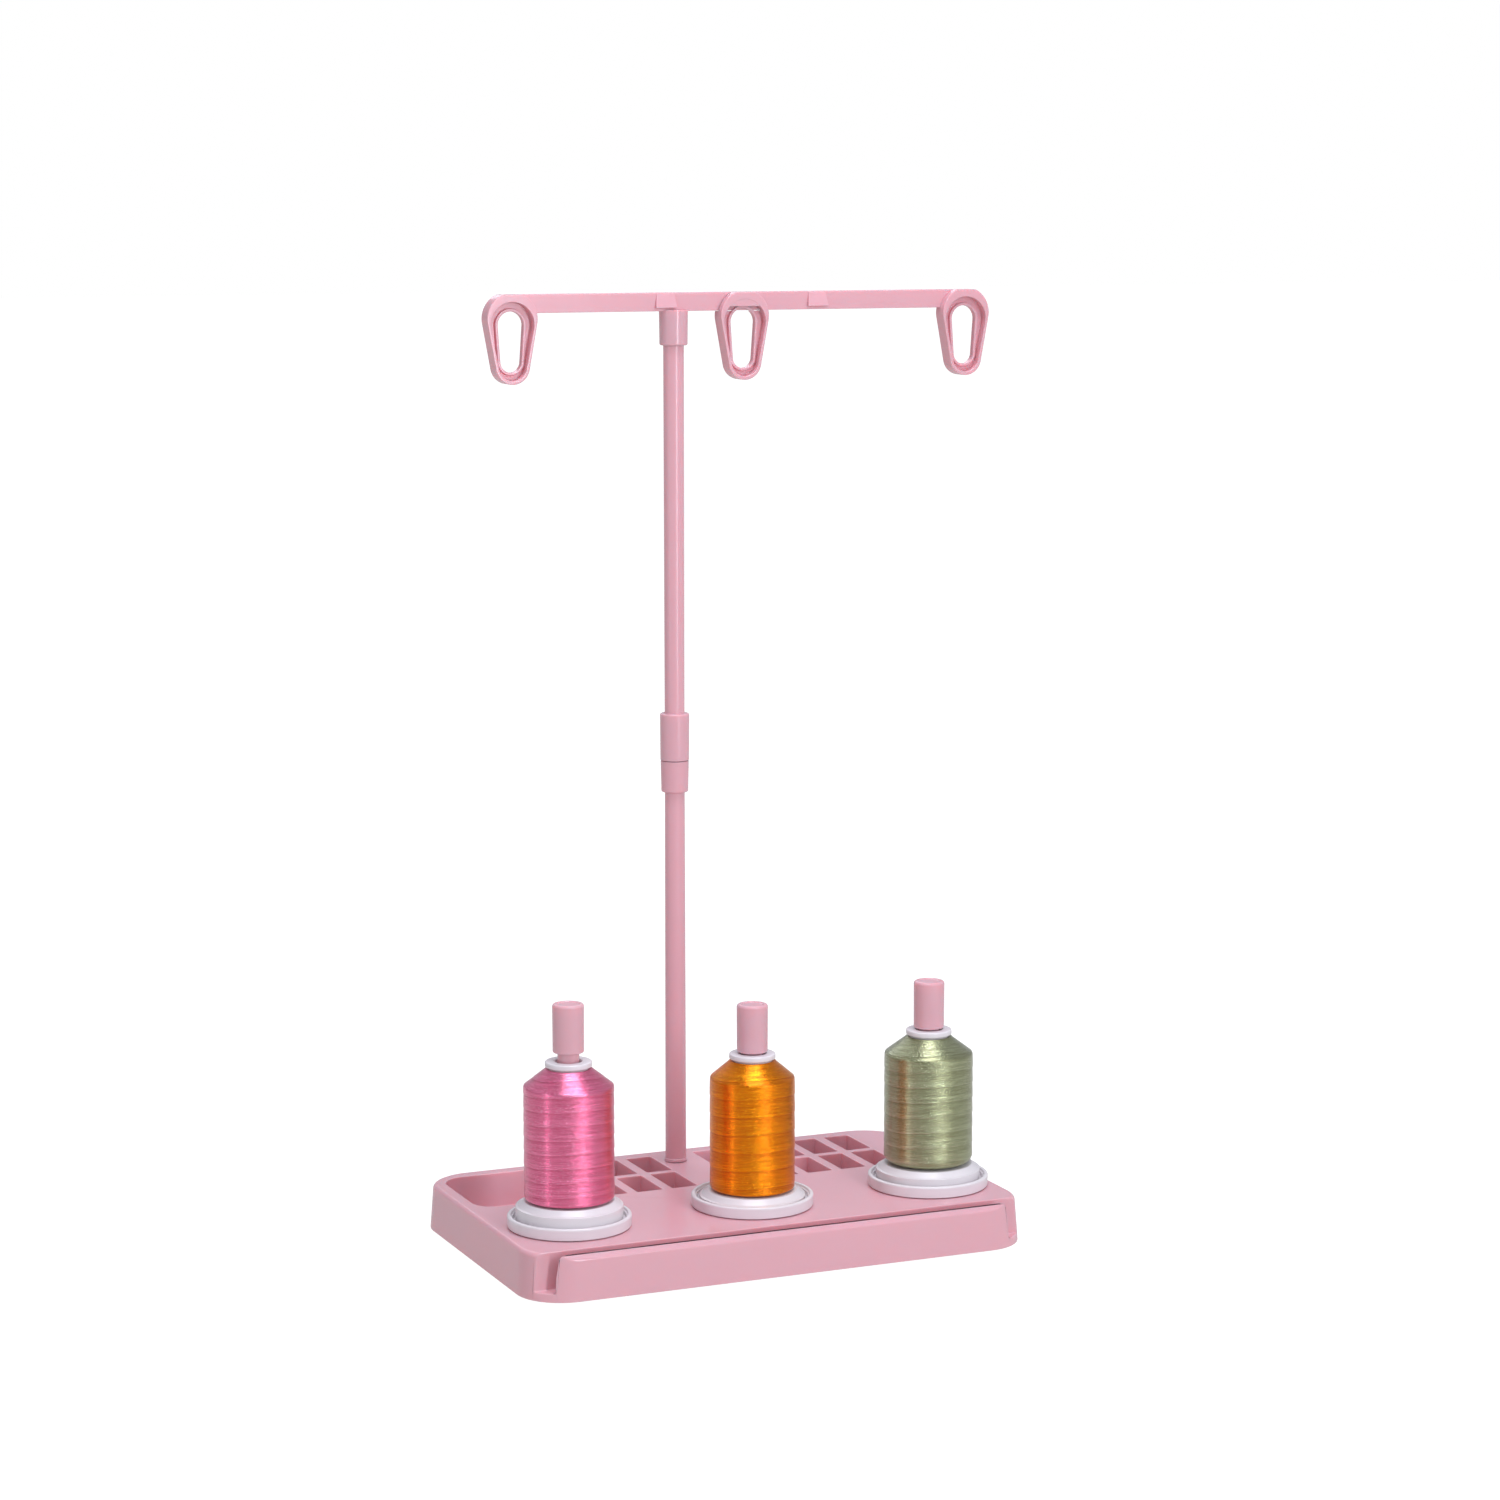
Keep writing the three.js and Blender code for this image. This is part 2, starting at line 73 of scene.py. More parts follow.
TRAY_X, TRAY_Y = (-113.5, -62.0), (12.6, 67.6)
TRAY_R = 11.0
TRAY_FLOOR_Z = 5.8

TROUGH_Y = (-74.0, -67.5)
TROUGH_FLOOR_Z = 4.8
RAIL_HALF = 110.5
RAIL_TOP_Z = 21.6
RAIL_SLOPE = 1.04                         # fall of the rail's top towards the front
RAIL_CORNER_R = 5.0

SOCKET_FLOOR_Z = 6.0
BOSS_Z = 4.0
RIB_T, RIB_Z, RIB_Y, RIB_X = 1.6, 9.0, -12.2, 45.2
FEET = {
    "front_left": (-102, -52), "front_right": (102, -52),
    "back_left": (-102, 55), "back_right": (102, 55),
}
FOOT_R = 7.0
FOOT_BOSS_WALL = 2.0
FOOT_POCKET_H = 1.5
PIN_BOSS_R, POLE_BOSS_R = 8.0, 9.4
PIN_SOCKET_R, POLE_SOCKET_R = 4.3, 4.4

# ---------- pole, crossbar and guides ----------
POLE_Y = 55.8
POLE_SPIGOT_R = 4.1
COLLAR_Z, PARTING_Z, STEP_Z = 199.6, 214.3, 236.7    # widening, joint between the halves, narrowing
BAR_Y, BAR_Z = (52.8, 58.8), (423.5, 432.0)
BAR_MIDDLE_X, GUIDE_PITCH = 33.1, 114.3
BAR_SOCKET_Z = 407.8                      # underside of the crossbar's socket
BAR_BORE_R, BAR_BORE_TOP_Z = 5.1, 421.9
RAMP_OFFSET, RAMP_HALF, RAMP_TOP_HALF = 38.3, 5.2, 4.3
RAMP_DEPTH, RAMP_LEAN = 2.0, 1.9
CLIP_SLOT_HALF, CLIP_SLOT_Z = 5.0, (426.0, 429.6)
TONGUE_HALF, TONGUE_Z, TONGUE_PAST_BAR = 4.7, (426.3, 429.3), 1.4
BARB_TOP_Z = 430.0
PAD_LIP = 1.9                             # height of the pad's lower edge over the bar's underside
GUIDE_Y = (48.8, 57.0)
GUIDE_RECESS, GUIDE_WEB = 4.2, 1.8
GUIDE_LIP_WIDTH, GUIDE_LIP_LIFT = 1.3, 1.6   # raised round the hole
# height and radius of each outline's top and bottom circle
GUIDE_OUTER = ((421.0, 12.1), (399.7, 8.2))
GUIDE_POCKET = ((418.2, 10.4), (399.9, 6.7))
GUIDE_HOLE = ((418.2, 6.2), (402.0, 5.1))

# ---------- pins, caps and spools ----------
SIDES = ("left", "middle", "right")
PIN_R, PIN_SPIGOT_R = 4.85, 4.0
CAP_BORE_R, CAP_BORE_H, CAP_DISH = 5.15, 16.5, 0.45
DISC_BORE_R = 5.6
CORE_BORE_R, CORE_TUBE_R, CORE_RIM_R = 5.3, 9.0, 10.5
THREAD_INNER_R = 9.3
SHOULDER_DROP = 7.9                       # from the winding's top down to the end of its cone
FOOT_ROUND = {"left": 1.2, "middle": 1.2, "right": 3.2}    # rounding at the winding's foot
LAYER = {"left": 6.4, "middle": 8.2, "right": 7.1}         # height of one layer of winding
STRAND = 0.42                             # height of one visible turn of thread
RIDGE = 0.03                              # how far each turn stands out

GAP = 0.3                                 # clearance between pieces that touch
TURN_STEPS = 72
THREAD_STEPS = 96

# ---------- studio ----------
COOL_WHITE = (0.96, 0.98, 1.07)
AIM_Z = 180
# name, bearing and elevation in degrees, distance, width and height in metres, watts
LIGHTS = (
    ("left_box", -79, 12, 1.5, 0.16, 1.5, 2.4),
    ("front_box", 12, 14, 1.7, 0.2, 1.3, 12),
    ("top_box", 5, 78, 1.5, 0.8, 0.8, 13.5),
    ("back_box", 165, 35, 1.8, 1.0, 1.0, 5),
)
WORLD_GLOW, WORLD_SEEN = 0.4, 1.0         # strength on the object, and behind it
FLOOR_GLOW, FLOOR_SEEN = 0.52, 1.0
CAMERA_AT = (-674.5, -1570, 479.7)
CAMERA_DOWN, CAMERA_RIGHT = 8.42, 23.68   # degrees
LENS, SENSOR = 91.2, 36


def place(x, y, z):
    return Vector((MIDDLE_X + x * MM, y * MM, z * MM))


# ================= making shapes =================

def start(primitive, name, **options):
    """Adds a primitive with nothing else selected."""
    bpy.ops.object.select_all(action="DESELECT")
    primitive(**options)
    piece = bpy.context.active_object
    piece.name = piece.data.name = name
    return piece


def only(piece):
    bpy.ops.object.select_all(action="DESELECT")
    piece.select_set(True)
    bpy.context.view_layer.objects.active = piece


def edit(piece):
    only(piece)
    bpy.ops.object.mode_set(mode="EDIT")


def close_shape():
    """Leaves edit mode with doubles merged, faces pointing out and the place kept in the mesh."""
    bpy.ops.mesh.select_all(action="SELECT")
    bpy.ops.mesh.remove_doubles(threshold=1e-6)
    bpy.ops.mesh.normals_make_consistent(inside=False)
    bpy.ops.object.mode_set(mode="OBJECT")
    bpy.ops.object.transform_apply(location=True, rotation=True, scale=True)


def pick(kind, test):
    """In edit mode, selects the faces, edges or vertices that pass the test."""
    bpy.ops.mesh.select_mode(type=kind)
    bpy.ops.mesh.select_all(action="DESELECT")
    shape = bmesh.from_edit_mesh(bpy.context.edit_object.data)
    for item in {"FACE": shape.faces, "EDGE": shape.edges, "VERT": shape.verts}[kind]:
        if test(item):
            item.select_set(True)
    shape.select_flush_mode()
    bmesh.update_edit_mesh(bpy.context.edit_object.data)


def apply(piece, kind, **settings):
    """Adds a modifier and applies it."""
    modifier = piece.modifiers.new("step", kind)
    for name, value in settings.items():
        setattr(modifier, name, value)
    only(piece)
    bpy.ops.object.modifier_apply(modifier="step")


def carve(piece, cutter, operation="DIFFERENCE"):
    apply(piece, "BOOLEAN", object=cutter, operation=operation, solver="EXACT", use_self=True)
    bpy.data.objects.remove(cutter)


def soften(piece, width, segments=2, angle=35):
    """Rounds every edge sharper than the angle."""
    apply(piece, "BEVEL", width=width * MM, segments=segments, limit_method="ANGLE",
          angle_limit=math.radians(angle), use_clamp_overlap=False, miter_outer="MITER_ARC")


def smooth(piece, angle=40):
    only(piece)
    bpy.ops.object.shade_smooth_by_angle(angle=math.radians(angle))
    apply(piece, "WEIGHTED_NORMAL", keep_sharp=True)


def block(name, x, y, z):
    low, high = place(x[0], y[0], z[0]), place(x[1], y[1], z[1])
    piece = start(bpy.ops.mesh.primitive_cube_add, name, size=1, location=(low + high) / 2)
    piece.scale = high - low
    bpy.ops.object.transform_apply(location=True, rotation=True, scale=True)
    return piece


def drum(name, x, y, radius, z, steps=48):
    piece = start(bpy.ops.mesh.primitive_cylinder_add, name, vertices=steps, radius=radius * MM,
                  depth=(z[1] - z[0]) * MM, location=place(x, y, (z[0] + z[1]) / 2))
    bpy.ops.object.transform_apply(location=True, rotation=True, scale=True)
    return piece


def rounded_slab(name, x, y, corner, levels, steps=CORNER_STEPS):
    """A rounded rectangle raised through levels of (height, inset from the first outline)."""
    width, depth = x[1] - x[0], y[1] - y[0]
    centre = place((x[0] + x[1]) / 2, (y[0] + y[1]) / 2, levels[0][0])
    piece = start(bpy.ops.mesh.primitive_plane_add, name, size=1, location=centre)
    piece.scale = (width * MM, depth * MM, 1)
    bpy.ops.object.transform_apply(location=False, rotation=False, scale=True)
    edit(piece)
    bpy.ops.mesh.select_all(action="SELECT")
    bpy.ops.mesh.bevel(offset=corner * MM, segments=steps, affect="VERTICES", clamp_overlap=False)
    bpy.ops.mesh.select_all(action="SELECT")
    for (z0, inset0), (z1, inset1) in zip(levels, levels[1:]):
        bpy.ops.mesh.extrude_region_move(TRANSFORM_OT_translate={"value": (0, 0, (z1 - z0) * MM)})
        across = (width - 2 * inset1) / (width - 2 * inset0)
        along = (depth - 2 * inset1) / (depth - 2 * inset0)
        bpy.ops.transform.resize(value=(across, along, 1), center_override=(centre.x, centre.y, z1 * MM))
    close_shape()
    return piece


def filleted(profile, arc_steps=4):
    """Replaces each (radius, height, fillet) point of a profile by a short arc."""
    points = []
    for i, (r, z, *fillet) in enumerate(profile):
        if not fillet:
            points.append((r, z))
            continue
        here = Vector((r, z))
        back = (Vector(profile[i - 1][:2]) - here).normalized()
        ahead = (Vector(profile[(i + 1) % len(profile)][:2]) - here).normalized()
        half = back.angle(ahead) / 2
        reach = fillet[0] / math.tan(half)
        middle = here + (back + ahead).normalized() * fillet[0] / math.sin(half)
        first, last = here + back * reach - middle, here + ahead * reach - middle
        for step in range(arc_steps + 1):
            points.append(tuple(middle + first.slerp(last, step / arc_steps) * fillet[0]))
    return points


def turned(name, x, y, profile, steps=TURN_STEPS):
    """A profile of (radius, height) points spun about the upright line through (x, y)."""
    points = filleted(profile)
    first = place(x + points[0][0], y, points[0][1])
    piece = start(bpy.ops.mesh.primitive_plane_add, name, size=MM, location=first)
    edit(piece)
    bpy.ops.mesh.select_mode(type="VERT")
    bpy.ops.mesh.select_all(action="SELECT")
    bpy.ops.mesh.merge(type="CENTER")
    for (r0, z0), (r1, z1) in zip(points, points[1:]):
        step = ((r1 - r0) * MM, 0, (z1 - z0) * MM)
        bpy.ops.mesh.extrude_vertices_move(TRANSFORM_OT_translate={"value": step})
    bpy.ops.mesh.select_all(action="SELECT")
    bpy.ops.mesh.spin(steps=steps, angle=2 * math.pi, center=place(x, y, 0), axis=(0, 0, 1))
    close_shape()
    return piece


def teardrop_ring(name, x, rings):
    """A shape lofted through (outline, depth) pairs, each outline two joined circles.

    When the last pair isn't the first again, the open ends are filled.
    """
    (top_z, top_r), (low_z, low_r) = rings[0][0]
    lean = math.asin((top_r - low_r) / (top_z - low_z))
    piece = start(bpy.ops.mesh.primitive_circle_add, name, vertices=64, radius=top_r * MM,
                  location=place(x, rings[0][1], top_z), rotation=(math.pi / 2, 0, 0))
    bpy.ops.object.transform_apply(location=True, rotation=True, scale=True)
    edit(piece)
    bpy.ops.mesh.select_all(action="SELECT")
    before = ((top_z, top_r), (top_z, top_r))
    split_z = top_z - (top_r + 0.05) * math.sin(lean)
    for step, (outline, depth) in enumerate(rings):
        if step:
            bpy.ops.mesh.extrude_edges_move(
                TRANSFORM_OT_translate={"value": (0, (depth - rings[step - 1][1]) * MM, 0)})
        shape = bmesh.from_edit_mesh(piece.data)
        shape.verts.index_update()
        ring = {v.index for v in shape.verts if v.select}
        lower = {v.index for v in shape.verts if v.select and v.co.z < split_z * MM}
        for part, members in enumerate((ring - lower, lower)):
            (z0, r0), (z1, r1) = before[part], outline[part]
            pick("VERT", lambda v: v.index in members)
            bpy.ops.transform.resize(value=(r1 / r0, 1, r1 / r0), center_override=place(x, depth, z0))
            bpy.ops.transform.translate(value=(0, 0, (z1 - z0) * MM))
        pick("VERT", lambda v: v.index in ring)
        before = outline
        split_z = (outline[0][0] + outline[1][0]) / 2
    bpy.ops.mesh.select_all(action="SELECT")
    if rings[0] != rings[-1]:
        bpy.ops.mesh.fill_holes(sides=0)
    close_shape()
    return piece


# ================= procedural materials =================

def put(tree, kind, settings=None, **inputs):
    """Adds a shader node, with its inputs set or linked by name."""
    node = tree.nodes.new("ShaderNode" + kind)
    for name, value in (settings or {}).items():
        setattr(node, name, value)
    for name, value in inputs.items():
        connect(tree, node.inputs[name.replace("_", " ")], value)
    return node


def connect(tree, socket, value):
    if isinstance(value, bpy.types.NodeSocket):
        tree.links.new(value, socket)
    else:
        socket.default_value = value


def calc(tree, operation, *values):
    node = put(tree, "Math", {"operation": operation})
    for socket, value in zip(node.inputs, values):
        connect(tree, socket, value)
    return node.outputs[0]


def remap(tree, value, low, high, to_low=0.0, to_high=1.0):
    node = put(tree, "MapRange", Value=value, From_Min=low, From_Max=high, To_Min=to_low, To_Max=to_high)
    return node.outputs["Result"]


def mixed(tree, factor, a, b, mode="MIX"):
    node = put(tree, "Mix", {"data_type": "RGBA", "blend_type": mode})
    for socket, value in zip((node.inputs[0], node.inputs[6], node.inputs[7]), (factor, a, b)):
        connect(tree, socket, value)
    return node.outputs[2]


def noise_over(tree, where, scale, detail):
    return put(tree, "TexNoise", Vector=where, Scale=scale, Detail=detail).outputs["Fac"]


def group_node(tree, group, **inputs):
    """Places a node group in a material, with its inputs set or linked by name."""
    node = tree.nodes.new("ShaderNodeGroup")
    node.node_tree = group
    for name, value in inputs.items():
        connect(tree, node.inputs[name.replace("_", " ")], value)
    return node


def new_group(name, inputs, outputs):
    """A shader node group with named float or vector inputs and outputs."""
    tree = bpy.data.node_groups.new(name, "ShaderNodeTree")
    for socket, kind, default in inputs:
        made = tree.interface.new_socket(socket, in_out="INPUT", socket_type="NodeSocket" + kind)
        if default is not None:
            made.default_value = default
    for socket, kind in outputs:
        tree.interface.new_socket(socket, in_out="OUTPUT", socket_type="NodeSocket" + kind)
    return tree, tree.nodes.new("NodeGroupInput"), tree.nodes.new("NodeGroupOutput")


def moulded_surface_group():
    """Moulded plastic's skin: soft clouding, an orange-peel ripple, dust specks and hairline scuffs."""
    tree, given, made = new_group(
        "moulded_surface",
        [("Vector", "Vector", None), ("Speck Size", "Float", 1.0), ("Scuffs", "Float", 1.0)],
        [("Tone", "Float"), ("Roughness", "Float"), ("Height", "Float")])
    where = given.outputs["Vector"]
    cloud = noise_over(tree, where, 28.0, 3.0)
    peel = noise_over(tree, where, 520.0, 2.0)
    scale = calc(tree, "DIVIDE", 2200.0, given.outputs["Speck Size"])
    specks = put(tree, "TexVoronoi", Vector=where, Scale=scale).outputs["Distance"]
    chosen = noise_over(tree, where, 420.0, 1.0)
    speck = calc(tree, "MULTIPLY", remap(tree, specks, 0.28, 0.12), remap(tree, chosen, 0.55, 0.62))
    stretched = put(tree, "Mapping", {"vector_type": "POINT"}, Vector=where, Rotation=(0.2, 0.1, 0.6),
                    Scale=(26.0, 900.0, 900.0)).outputs[0]
    hairline = remap(tree, noise_over(tree, stretched, 1.0, 1.0), 0.66, 0.74)
    scuffed = calc(tree, "MULTIPLY", calc(tree, "MULTIPLY", hairline, given.outputs["Scuffs"]),
                   remap(tree, cloud, 0.5, 0.65))

    def marked(clouding, speck_share, scuff_share):
        with_specks = calc(tree, "ADD", clouding, calc(tree, "MULTIPLY", speck, speck_share))
        return calc(tree, "ADD", with_specks, calc(tree, "MULTIPLY", scuffed, scuff_share))

    connect(tree, made.inputs["Tone"], marked(remap(tree, cloud, 0.25, 0.75, 0.992, 1.006), -0.02, 0.008))
    connect(tree, made.inputs["Roughness"], marked(remap(tree, cloud, 0.25, 0.75, -0.02, 0.03), 0.06, 0.04))
    connect(tree, made.inputs["Height"], marked(peel, 0.5, 0.5))
    return tree


def wound_thread_group():
    """Silky wound thread, on a map in millimetres round and up the winding: strands, layers with painted
    shade at their seams and painted light across each layer, and painted glints.
    """
    tree, given, made = new_group(
        "wound_thread",
        [("Vector", "Vector", None), ("Crossing", "Float", 0.3), ("Layer Height", "Float", 6.5)],
        [("Shade", "Float"), ("Glint", "Float"), ("Height", "Float")])
    where = given.outputs["Vector"]

    def streaks(name, slope, scale, low, high, detail=2.0):
        tilted = put(tree, "Mapping", {"vector_type": "POINT", "label": name}, Vector=where,
                     Rotation=(0, 0, slope), Scale=scale).outputs[0]
        return remap(tree, noise_over(tree, tilted, 1.0, detail), low, high)

    fine = streaks("strands", 0.012, (0.16, 3.8, 1), 0.3, 0.7)
    bundles = streaks("bundles", -0.02, (0.035, 0.75, 1), 0.35, 0.65)
    # Glints are painted glints in the colour, and sparkle in the bump and roughness.
    glints = streaks("glints", 0.03, (1.3, 4.2, 1), 0.52, 0.72, 3.0)
    crossing = streaks("crossing", 0.16, (0.05, 2.6, 1), 0.62, 0.70)
    cross = calc(tree, "MULTIPLY", crossing, given.outputs["Crossing"])
    height = put(tree, "SeparateXYZ", Vector=where).outputs["Y"]
    saw = calc(tree, "FRACT", calc(tree, "DIVIDE", height, given.outputs["Layer Height"]))
    gaps = streaks("gaps", 0.0, (0.09, 0.3, 1), 0.4, 0.55)
    # The seam at the top of each layer is a groove in the bump, and painted shade in the colour.
    edge = calc(tree, "MULTIPLY", remap(tree, saw, 0.93, 1.0), gaps)
    shade = calc(tree, "ADD", calc(tree, "MULTIPLY", fine, 0.6), calc(tree, "MULTIPLY", bundles, 0.4))
    shade = calc(tree, "SUBTRACT", shade, calc(tree, "MULTIPLY", calc(tree, "ADD", edge, cross), 0.55))
    # Painted light and shade across each layer: lighter at its foot, darker towards the seam above. It scales
    # the strand tone and the painted glints.
    painted_layer_light = remap(tree, saw, 1.0, 0.0, 0.6, 1.1)
    connect(tree, made.inputs["Shade"], calc(tree, "MULTIPLY", shade, painted_layer_light))
    connect(tree, made.inputs["Glint"], calc(tree, "MULTIPLY", glints, painted_layer_light))
    bump = calc(tree, "ADD", fine, calc(tree, "MULTIPLY", glints, 0.6))
    connect(tree, made.inputs["Height"], calc(tree, "SUBTRACT", bump, calc(tree, "ADD", edge, cross)))
    return tree


def blank_material(name):
    material = bpy.data.materials.new(name)
    material.use_nodes = True
    tree = material.node_tree
    tree.nodes.clear()
    shader = put(tree, "BsdfPrincipled")
    tree.links.new(shader.outputs["BSDF"], put(tree, "OutputMaterial").inputs["Surface"])
    return material, tree, shader


def plastic(name, color, roughness, speck=1.0, scuffs=1.0, bump=0.02, **shader_values):
    material, tree, shader = blank_material(name)
    where = put(tree, "TexCoord").outputs["Object"]
    skin = group_node(tree, SURFACE, Vector=where, Speck_Size=speck, Scuffs=scuffs)
    tone = skin.outputs["Tone"]
    grey = put(tree, "CombineColor", Red=tone, Green=tone, Blue=tone).outputs[0]
    connect(tree, shader.inputs["Base Color"], mixed(tree, 1.0, (*color, 1), grey, "MULTIPLY"))
    connect(tree, shader.inputs["Roughness"], calc(tree, "ADD", skin.outputs["Roughness"], roughness))
    connect(tree, shader.inputs["Normal"],
            put(tree, "Bump", Height=skin.outputs["Height"], Strength=bump, Distance=0.0004).outputs[0])
    for socket, value in shader_values.items():
        shader.inputs[socket.replace("_", " ")].default_value = value
    return material


def thread(name, deep, mid, light, crossing, layer, film):
    """Lustrous embroidery thread under clear film. Colours run from deep, for dark strand tone and painted
    shade, through mid, to light for painted glints.
    """
    material, tree, shader = blank_material(name)
    where = put(tree, "UVMap", {"uv_map": "winding"}).outputs[0]
    wound = group_node(tree, WOUND, Vector=where, Crossing=crossing, Layer_Height=layer)
    body = mixed(tree, remap(tree, wound.outputs["Shade"], 0.0, 0.75), (*deep, 1), (*mid, 1))
    # The light colour is a painted glint, mixed in where the Glint output is high.
    painted_glint = calc(tree, "MULTIPLY", wound.outputs["Glint"], 0.8)
    connect(tree, shader.inputs["Base Color"], mixed(tree, painted_glint, body, (*light, 1)))
    connect(tree, shader.inputs["Roughness"], remap(tree, wound.outputs["Glint"], 0.0, 1.0, 0.27, 0.2))
    connect(tree, shader.inputs["Metallic"], remap(tree, wound.outputs["Shade"], 0.0, 1.0, 0.75, 0.95))
    connect(tree, shader.inputs["Normal"],
            put(tree, "Bump", Height=wound.outputs["Height"], Strength=0.8, Distance=0.00008).outputs[0])
    connect(tree, shader.inputs["Tangent"],
            put(tree, "Tangent", {"direction_type": "UV_MAP", "uv_map": "winding"}).outputs[0])
    values = {"Anisotropic": 0.85, "Anisotropic Rotation": 0.25, "Specular IOR Level": 0.3,
              "Coat Weight": film, "Coat Roughness": 0.2}
    for socket, value in values.items():
        shader.inputs[socket].default_value = value
    return material


SURFACE = moulded_surface_group()
WOUND = wound_thread_group()
PINK = plastic("pink_plastic", (0.755, 0.412, 0.46), 0.2, Specular_IOR_Level=0.5,
               Subsurface_Weight=0.4, Subsurface_Scale=0.006, Subsurface_Radius=(1.0, 0.3, 0.25))
WHITE = plastic("spool_white_plastic", (0.79, 0.745, 0.765), 0.22, speck=1.6, scuffs=0.6,
                Specular_IOR_Level=0.5, Subsurface_Weight=0.15, Subsurface_Scale=0.003,
                Subsurface_Radius=(1.0, 0.95, 1.0))
RUBBER = plastic("grey_rubber", (0.20, 0.20, 0.20), 0.75, speck=2.5, scuffs=0.2, bump=0.3)
# Each deep colour is partly strand tone and partly painted shade. Each light colour is the colour of painted
# glints.
THREADS = {
    "left": thread("pink_thread", deep=(0.68, 0.08, 0.19), mid=(1.0, 0.21, 0.40),
                   light=(1.0, 0.72, 0.86), crossing=0.3, layer=LAYER["left"], film=0.45),
    "middle": thread("orange_thread", deep=(0.66, 0.12, 0.001), mid=(1.0, 0.28, 0.002),
                     light=(1.0, 0.70, 0.03), crossing=0.2, layer=LAYER["middle"], film=0.08),
    "right": thread("green_thread", deep=(0.22, 0.22, 0.09), mid=(0.41, 0.44, 0.25),
                    light=(0.86, 0.92, 0.70), crossing=0.6, layer=LAYER["right"], film=0.45),
}
THREAD_SLOTS = {"left": "thread_pink", "middle": "thread_orange", "right": "thread_green"}


def hand_over(piece, material, slot, body, *nodes):
    """Gives a finished piece its material, its body and the CAD nodes it stands for."""
    piece.data.materials.clear()
    piece.data.materials.append(material)
    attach(piece, body)
    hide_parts(*nodes)


# ================= base =================

def slot_cutters():
    """All bobbin slots as one piece: the first of each group, repeated along and then back."""
    groups = []
    for left, count in SLOT_GROUPS:
        near, far = SLOT_ROWS_Y
        one = block("slots", (left, left + SLOT_W), (near, near + SLOT_L), (SLOT_FLOOR_Z, ABOVE_Z))
        apply(one, "ARRAY", count=count, use_relative_offset=False, use_constant_offset=True,
              constant_offset_displace=(SLOT_PITCH * MM, 0, 0))
        apply(one, "ARRAY", count=2, use_relative_offset=False, use_constant_offset=True,
              constant_offset_displace=(0, (far - near) * MM, 0))
        groups.append(one)
    return groups


def underside():
    """The hollow under the deck, less the walls, ribs and bosses that stand in it."""
    inside_x, inside_y = BASE_W / 2 - WALL, BASE_D / 2 - WALL
    hollow = rounded_slab("hollow", (-inside_x, inside_x), (-inside_y, inside_y), CORNER_R - WALL,
                          ((-1, 0), (DECK_Z - WALL, DRAFT)))
    near, far = SLOT_ROWS_Y[0] - SLOT_WALL, SLOT_ROWS_Y[1] + SLOT_L + SLOT_WALL
    walls = []
    for left, count in SLOT_GROUPS:
        right = left + (count - 1) * SLOT_PITCH + SLOT_W
        walls.append(block("wall", (left - SLOT_WALL, right + SLOT_WALL), (near, far),
                           (SLOT_FLOOR_Z - SLOT_WALL, ABOVE_Z)))
    walls.append(block("wall", (TRAY_X[0] - SLOT_WALL, TRAY_X[1] + SLOT_WALL),
                       (TRAY_Y[0] - SLOT_WALL, TRAY_Y[1] + SLOT_WALL), (TRAY_FLOOR_Z - SLOT_WALL, ABOVE_Z)))
    walls.append(block("wall", (-BASE_W, BASE_W), (-BASE_D, TROUGH_Y[1] + WALL), (-2, ABOVE_Z)))
    walls.append(block("wall", (-BASE_W, BASE_W), (RIB_Y - RIB_T / 2, RIB_Y + RIB_T / 2), (RIB_Z, ABOVE_Z)))
    for x in (-RIB_X, RIB_X):
        walls.append(block("wall", (x - RIB_T / 2, x + RIB_T / 2), (-BASE_D, SLOT_ROWS_Y[0]),
                           (RIB_Z, ABOVE_Z)))
    walls.append(drum("boss", 0, POLE_Y, POLE_BOSS_R, (BOSS_Z, ABOVE_Z)))
    for side in SIDES:
        x, y = spool_spot(side)
        walls.append(drum("boss", x, y, PIN_BOSS_R, (BOSS_Z, ABOVE_Z)))
    for x, y in FEET.values():
        walls.append(drum("boss", x, y, FOOT_R + FOOT_BOSS_WALL, (-2, ABOVE_Z)))
    for wall in walls:
        carve(hollow, wall)
    return hollow


def front_cut():
    """Everything in front of the trough's back wall, except the rail with its sloped top and round ends."""
    cut = block("front", (-BASE_W, BASE_W), (-BASE_D, TROUGH_Y[1]), (TROUGH_FLOOR_Z, ABOVE_Z))
    reach = 20
    rail = block("rail", (-RAIL_HALF, RAIL_HALF), (TROUGH_Y[0] - reach, TROUGH_Y[0]), (-reach, RAIL_TOP_Z))
    edit(rail)
    pick("EDGE", lambda e: (all(v.co.z > 0 for v in e.verts)
                            and abs(e.verts[0].co.x - e.verts[1].co.x) < 1e-6))
    bpy.ops.mesh.bevel(offset=RAIL_CORNER_R * MM, segments=10, clamp_overlap=False)
    pick("VERT", lambda v: v.co.y < (TROUGH_Y[0] - reach / 2) * MM)
    bpy.ops.transform.translate(value=(0, 0, -reach * RAIL_SLOPE * MM))
    close_shape()
    carve(cut, rail)
    return cut


